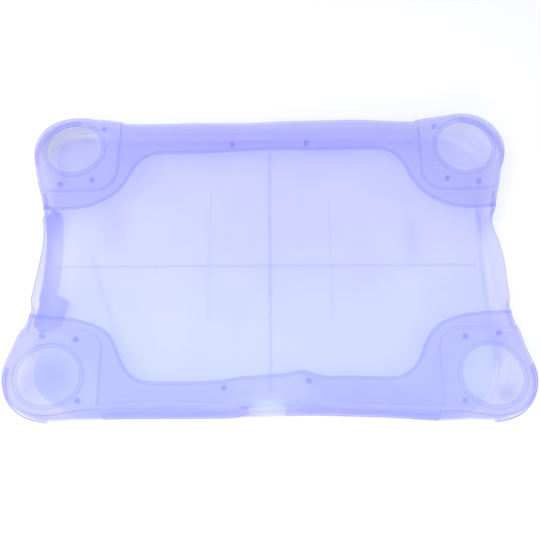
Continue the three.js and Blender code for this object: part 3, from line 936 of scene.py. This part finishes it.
def apply_modifiers(piece):
    evaluated = piece.evaluated_get(bpy.context.evaluated_depsgraph_get())
    mesh = bpy.data.meshes.new_from_object(evaluated)
    piece.modifiers.clear()
    piece.data = mesh


class SLEEVE_OT_side_walls(bpy.types.Operator):
    """Limp left and right walls, with a free edge between the gussets"""
    bl_idname = "sleeve.side_walls"
    bl_label = "Side walls"

    def execute(self, context):
        d, look = settings(context)
        material = moulded_silicone("side_wall", look.solid * 0.9, thin=look.limp)
        grid = wall_grid(AT_STEP_Y, 2 * LAST - AT_STEP_Y, 120, d)
        for name, side in (("right_wall", 1), ("left_wall", -1)):
            wall = skin_piece(name, handed(grid, side, 1), d["skin"], top=True)
            settle(wall, material, "silicone_wall", name)
        return {"FINISHED"}


class SLEEVE_OT_pods(bpy.types.Operator):
    """Flared corner walls around the board's foot housings"""
    bl_idname = "sleeve.pods"
    bl_label = "Foot pods"

    def execute(self, context):
        d, look = settings(context)
        material = moulded_silicone("pod", look.solid)
        grid = wall_grid(AT_STEP_X, AT_STEP_Y, 84, d, "pod")
        for name, mx, my in at_corners("pod_shell"):
            pod = skin_piece(name, handed(grid, mx, my), d["skin"], ends=True)
            settle(pod, material, "silicone_pod", name)
        return {"FINISHED"}


class SLEEVE_OT_bands(bpy.types.Operator):
    """Thick bumper band round each corner"""
    bl_idname = "sleeve.bands"
    bl_label = "Bumper bands"

    def execute(self, context):
        d, look = settings(context)
        material = moulded_silicone("band", look.solid * 0.4, thin=0.3)
        low, high = (cad_height("bumper_band_fr", end) - BAND_MIDDLE for end in (0, 1))
        path = band_path(d["band"] / 2)
        section = round_section(d["band"] / 2 + 0.3, low, high, 1.5)
        for name, mx, my in at_corners("bumper_band"):
            band = swept_piece(name, mirror(path, mx, my), section, BAND_MIDDLE)
            settle(band, material, "silicone_band", name)
        return {"FINISHED"}


class SLEEVE_OT_platforms(bpy.types.Operator):
    """Raised pad round each foot hole, with its step"""
    bl_idname = "sleeve.platforms"
    bl_label = "Foot platforms"

    def execute(self, context):
        d, look = settings(context)
        material = moulded_silicone("platform", look.solid, thin=look.eased)
        long_in = WALL_LINE[0][1] - d["wall_inset"]
        pod_edge = [set_in(s, d["pod_inset"]) for s in steps(AT_STEP_X + 0.1, AT_STEP_Y - 0.08, 80)]
        line = step_line(STEP_BACK, 60, long_in)
        outline = spaced(pod_edge + line + pod_edge[:1], 240)[:-1]
        hole = d["foot_hole"] + d["rim"] * 0.9
        turns = [atan2(y - FOOT_Y, x - FOOT_X) for x, y in outline]
        round_hole = [(FOOT_X + hole * cos(a), FOOT_Y + hole * sin(a)) for a in turns]
        grid = loft(outline, round_hole, d["platform"])
        # the step: down from the platform's edge to the gusset beside it
        riser = []
        past = long_in + 2.5
        foot = d["flange"] - d["skin"] * 0.2
        for (x0, y0), (x1, y1) in zip(step_line(0, 60, past), step_line(STEP_BACK, 60, past)):
            riser.append([
                (mix(x0, x1, 1 - cos(a)), mix(y0, y1, 1 - cos(a)),
                 mix(foot, d["platform"], sin(a)))
                for a in steps(0, pi / 2, 6)
            ])
        for name, mx, my in at_corners("foot_platform"):
            plate = skin_piece(name, handed(grid, mx, my), d["skin"], loop=True)
            settle(plate, material, "silicone_platform", name)
            step_name = name.replace("foot_platform", "platform_step")
            step = skin_piece(step_name, handed(riser, mx, my), d["skin"])
            # painted light: the back steps are drawn deeper and the front steps paler, as the light
            # falls from the front
            depth = look.trim_depth if my > 0 else look.trim_depth * 0.3
            step_material = moulded_silicone(f"step_{name[-2]}", look.solid, depth)
            settle(step, step_material, "silicone_platform", name)
        return {"FINISHED"}


class SLEEVE_OT_rims(bpy.types.Operator):
    """Thick rim of each foot hole"""
    bl_idname = "sleeve.rims"
    bl_label = "Foot hole rims"

    def execute(self, context):
        d, look = settings(context)
        material = moulded_silicone("rim", look.solid * 0.5, look.trim_depth * 0.1)
        middle = d["foot_hole"] + d["rim"] / 2
        path = arc(FOOT_X, FOOT_Y, middle, 0, 360, 96)[:-1]
        section = round_section(d["rim"] / 2, -2.6, 0.9, 0.9)
        for name, mx, my in at_corners("foot_hole_rim"):
            rim = swept_piece(name, mirror(path, mx, my), section, d["platform"], True)
            settle(rim, material, "silicone_rim", name)
        return {"FINISHED"}


class SLEEVE_OT_flange(bpy.types.Operator):
    """Long flange strips and the wide corner gussets"""
    bl_idname = "sleeve.flange"
    bl_label = "Flange"

    def execute(self, context):
        d, look = settings(context)
        material = moulded_silicone("flange", look.solid)
        wide = moulded_silicone("gusset", look.solid, thin=look.eased)
        long_in = WALL_LINE[0][1] - d["wall_inset"]
        edge = d["bead"] * 0.9
        outer, inner = (
            [(u * half, y) for u in steps(-1, 1, 120)]
            for half, y in ((STEP_X, long_in), (NECK_X, EDGE_Y + edge))
        )
        strip = loft(outer, inner, d["flange"])
        for name, side in (("front_flange", -1), ("back_flange", 1)):
            piece = skin_piece(name, handed(strip, 1, side), d["skin"])
            settle(piece, material, "silicone_flange", name)
        gusset = loft(step_line(0, 110, long_in), free_edge(edge, 10, 110), d["flange"])
        for name, mx, my in at_corners("corner_gusset"):
            piece = skin_piece(name, handed(gusset[::-1], mx, my), d["skin"])
            settle(piece, wide, "silicone_flange", name)
        return {"FINISHED"}


class SLEEVE_OT_beads(bpy.types.Operator):
    """Thickened free edge of the flange"""
    bl_idname = "sleeve.beads"
    bl_label = "Edge beads"

    def execute(self, context):
        d, look = settings(context)
        material = moulded_silicone("bead", look.solid * 0.7, look.trim_depth)
        half = free_edge(d["bead"] / 2, 13, 190)
        path = half + mirror(half[-2::-1], -1, 1)
        section = round_section(d["bead"] / 2, -d["skin"] - 0.5, 0.5, 1.0)
        for name, side in (("front_edge_bead", -1), ("back_edge_bead", 1)):
            bead = swept_piece(name, mirror(path, 1, side), section, d["flange"])
            settle(bead, material, "silicone_rim", name)
        return {"FINISHED"}


class SLEEVE_OT_parting_line(bpy.types.Operator):
    """Fine ridge that the mould leaves round the outermost contour"""
    bl_idname = "sleeve.parting_line"
    bl_label = "Parting line"

    def execute(self, context):
        d, look = settings(context)
        material = moulded_silicone("ridge", look.solid, look.ridge_depth)
        free = []
        for s in steps(AT_STEP_Y, 2 * LAST - AT_STEP_Y, 110):
            row = wall_row(s, d)
            free.append(tuple(mix(a, b, closed_share(s)) for a, b in zip(row[-1], row[RIDGE_ROW])))
        pod = [row[RIDGE_ROW] for row in wall_grid(AT_STEP_X, AT_STEP_Y, 90, d, "pod")]
        long = wall_grid(-AT_STEP_X, AT_STEP_X, 90, d)
        low = [row[FOOT_ROWS] for row in long]
        runs = [
            ("right_wall", free, 1, 1), ("left_wall", free, -1, 1),
            ("back_wall", [row[RIDGE_ROW] for row in long], 1, 1),
            ("front_wall", [p for p in low if p[0] < WINDOW_X[0]], 1, -1),
            ("front_wall", [p for p in low if p[0] > WINDOW_X[1]], 1, -1),
        ]
        runs += [(name, pod, mx, my) for name, mx, my in at_corners("pod_shell")]
        for i, (node, points, mx, my) in enumerate(runs):
            ridge = thread(f"ridge_{i}", [slack(p) for p in mirror(points, mx, my)], 0.6)
            settle(ridge, material, "silicone_rim", node)

        # the front corner bands have one along each of their outer edges
        path = band_path(d["band"])
        for node, mx, my in at_corners("bumper_band")[:2]:
            base = [slack((x, y, BAND_MIDDLE)) for x, y in mirror(path, mx, my)]
            for end, inwards in ((0, 0.8), (1, -0.8)):
                rise = cad_height(node, end) - BAND_MIDDLE + inwards
                ridge = thread(f"{node}_edge_{end}", [(x, y, z + rise) for x, y, z in base], 0.55)
                settle(ridge, material, "silicone_rim", node)
        return {"FINISHED"}


class SLEEVE_OT_pips(bpy.types.Operator):
    """Small locating studs on the inside of the flange"""
    bl_idname = "sleeve.pips"
    bl_label = "Pips"

    def execute(self, context):
        d, look = settings(context)
        material = moulded_silicone("pip", look.solid * 0.7, look.pip_depth)
        for name, x, y, base in pip_spots():
            pip = stud(name, slack((x, y, d[base])), d["pip"], d["skin"])
            settle(pip, material, "silicone_pip", name)
        return {"FINISHED"}


class SLEEVE_OT_stage(bpy.types.Operator):
    """Plain white floor, soft light and camera"""
    bl_idname = "sleeve.stage"
    bl_label = "Stage"

    def execute(self, context):
        scene = context.scene
        look = scene.stage_look
        half = 3.0      # metres
        mesh = bpy.data.meshes.new("floor")
        mesh.from_pydata([(-half, -half, 0), (half, -half, 0), (half, half, 0), (-half, half, 0)], [],
                         [(0, 1, 2, 3)])
        floor = bpy.data.objects.new("floor", mesh)
        mesh.materials.append(studio_paper(look.floor))
        scene.collection.objects.link(floor)
        # the least gap, so that the sheet and the floor don't share a plane
        floor.location.z = -0.4 * MM

        world = bpy.data.worlds.new("soft_white_room")
        scene.world = world
        world.use_nodes = True
        sky = world.node_tree.nodes["Background"]
        sky.inputs["Color"].default_value = (0.98, 0.97, 1.0, 1)
        sky.inputs["Strength"].default_value = 0.68

        # name, place, width and depth in metres, and power
        for name, place, wide, deep, watts in (
            ("overhead_softbox", (-0.25, -0.42, 1.2), 1.8, 0.7, 8.5),
            ("front_softbox", (-0.3, -1.25, 0.75), 1.8, 0.5, 7.0),
        ):
            lamp = bpy.data.lights.new(name, "AREA")
            lamp.shape = "RECTANGLE"
            lamp.size = wide
            lamp.size_y = deep
            lamp.energy = watts
            lamp.color = (0.96, 1.0, 1.0)
            holder = bpy.data.objects.new(name, lamp)
            holder.location = place
            holder.rotation_euler = Vector(place).to_track_quat("Z", "Y").to_euler()
            scene.collection.objects.link(holder)

        camera = bpy.data.cameras.new("camera")
        camera.lens = look.lens
        camera.sensor_width = 36
        camera.clip_start = 0.01
        eye = bpy.data.objects.new("camera", camera)
        scene.collection.objects.link(eye)
        scene.camera = eye
        at = Vector((0, -cos(look.elevation), sin(look.elevation))) * look.distance
        aim = Vector((0, -look.low_aim, 0))
        back = (at - aim).normalized()
        right = Vector((0, 0, 1)).cross(back).normalized()
        turn = Matrix((right, back.cross(right), back)).transposed().to_4x4()
        eye.matrix_world = Matrix.Translation(at) @ turn @ Matrix.Rotation(look.tilt, 4, "Z")

        scene.view_settings.view_transform = "Standard"
        # a ray may meet many faces of clear skin one after the other
        scene.cycles.transparent_max_bounces = 48
        return {"FINISHED"}


class SLEEVE_PT_panel(bpy.types.Panel):
    """Sizes, look and build buttons of the sleeve"""
    bl_idname = "SLEEVE_PT_panel"
    bl_label = "Balance board sleeve"
    bl_space_type = "VIEW_3D"
    bl_region_type = "UI"
    bl_category = "Sleeve"

    def draw(self, context):
        scene = context.scene
        for group in (scene.sleeve_sizes, scene.silicone_look, scene.stage_look):
            box = self.layout.box()
            for key in group.__annotations__:
                box.prop(group, key)
        for operator in OPERATORS:
            self.layout.operator(operator.bl_idname)


OPERATORS = (
    SLEEVE_OT_stage, SLEEVE_OT_sheet, SLEEVE_OT_long_walls, SLEEVE_OT_side_walls, SLEEVE_OT_pods,
    SLEEVE_OT_bands, SLEEVE_OT_platforms, SLEEVE_OT_rims, SLEEVE_OT_flange, SLEEVE_OT_beads,
    SLEEVE_OT_parting_line, SLEEVE_OT_pips,
)
GROUPS = (("sleeve_sizes", SleeveSizes), ("silicone_look", SiliconeLook), ("stage_look", StageLook))


def register():
    for name, group in GROUPS:
        bpy.utils.register_class(group)
        setattr(bpy.types.Scene, name, bpy.props.PointerProperty(type=group))
    for item in (*OPERATORS, SLEEVE_PT_panel):
        bpy.utils.register_class(item)


def unregister():
    for item in reversed((*OPERATORS, SLEEVE_PT_panel)):
        bpy.utils.unregister_class(item)
    for name, group in reversed(GROUPS):
        delattr(bpy.types.Scene, name)
        bpy.utils.unregister_class(group)


def main():
    register()
    for operator in OPERATORS:
        group, name = operator.bl_idname.split(".")
        getattr(getattr(bpy.ops, group), name)()


if __name__ == "__main__":
    main()
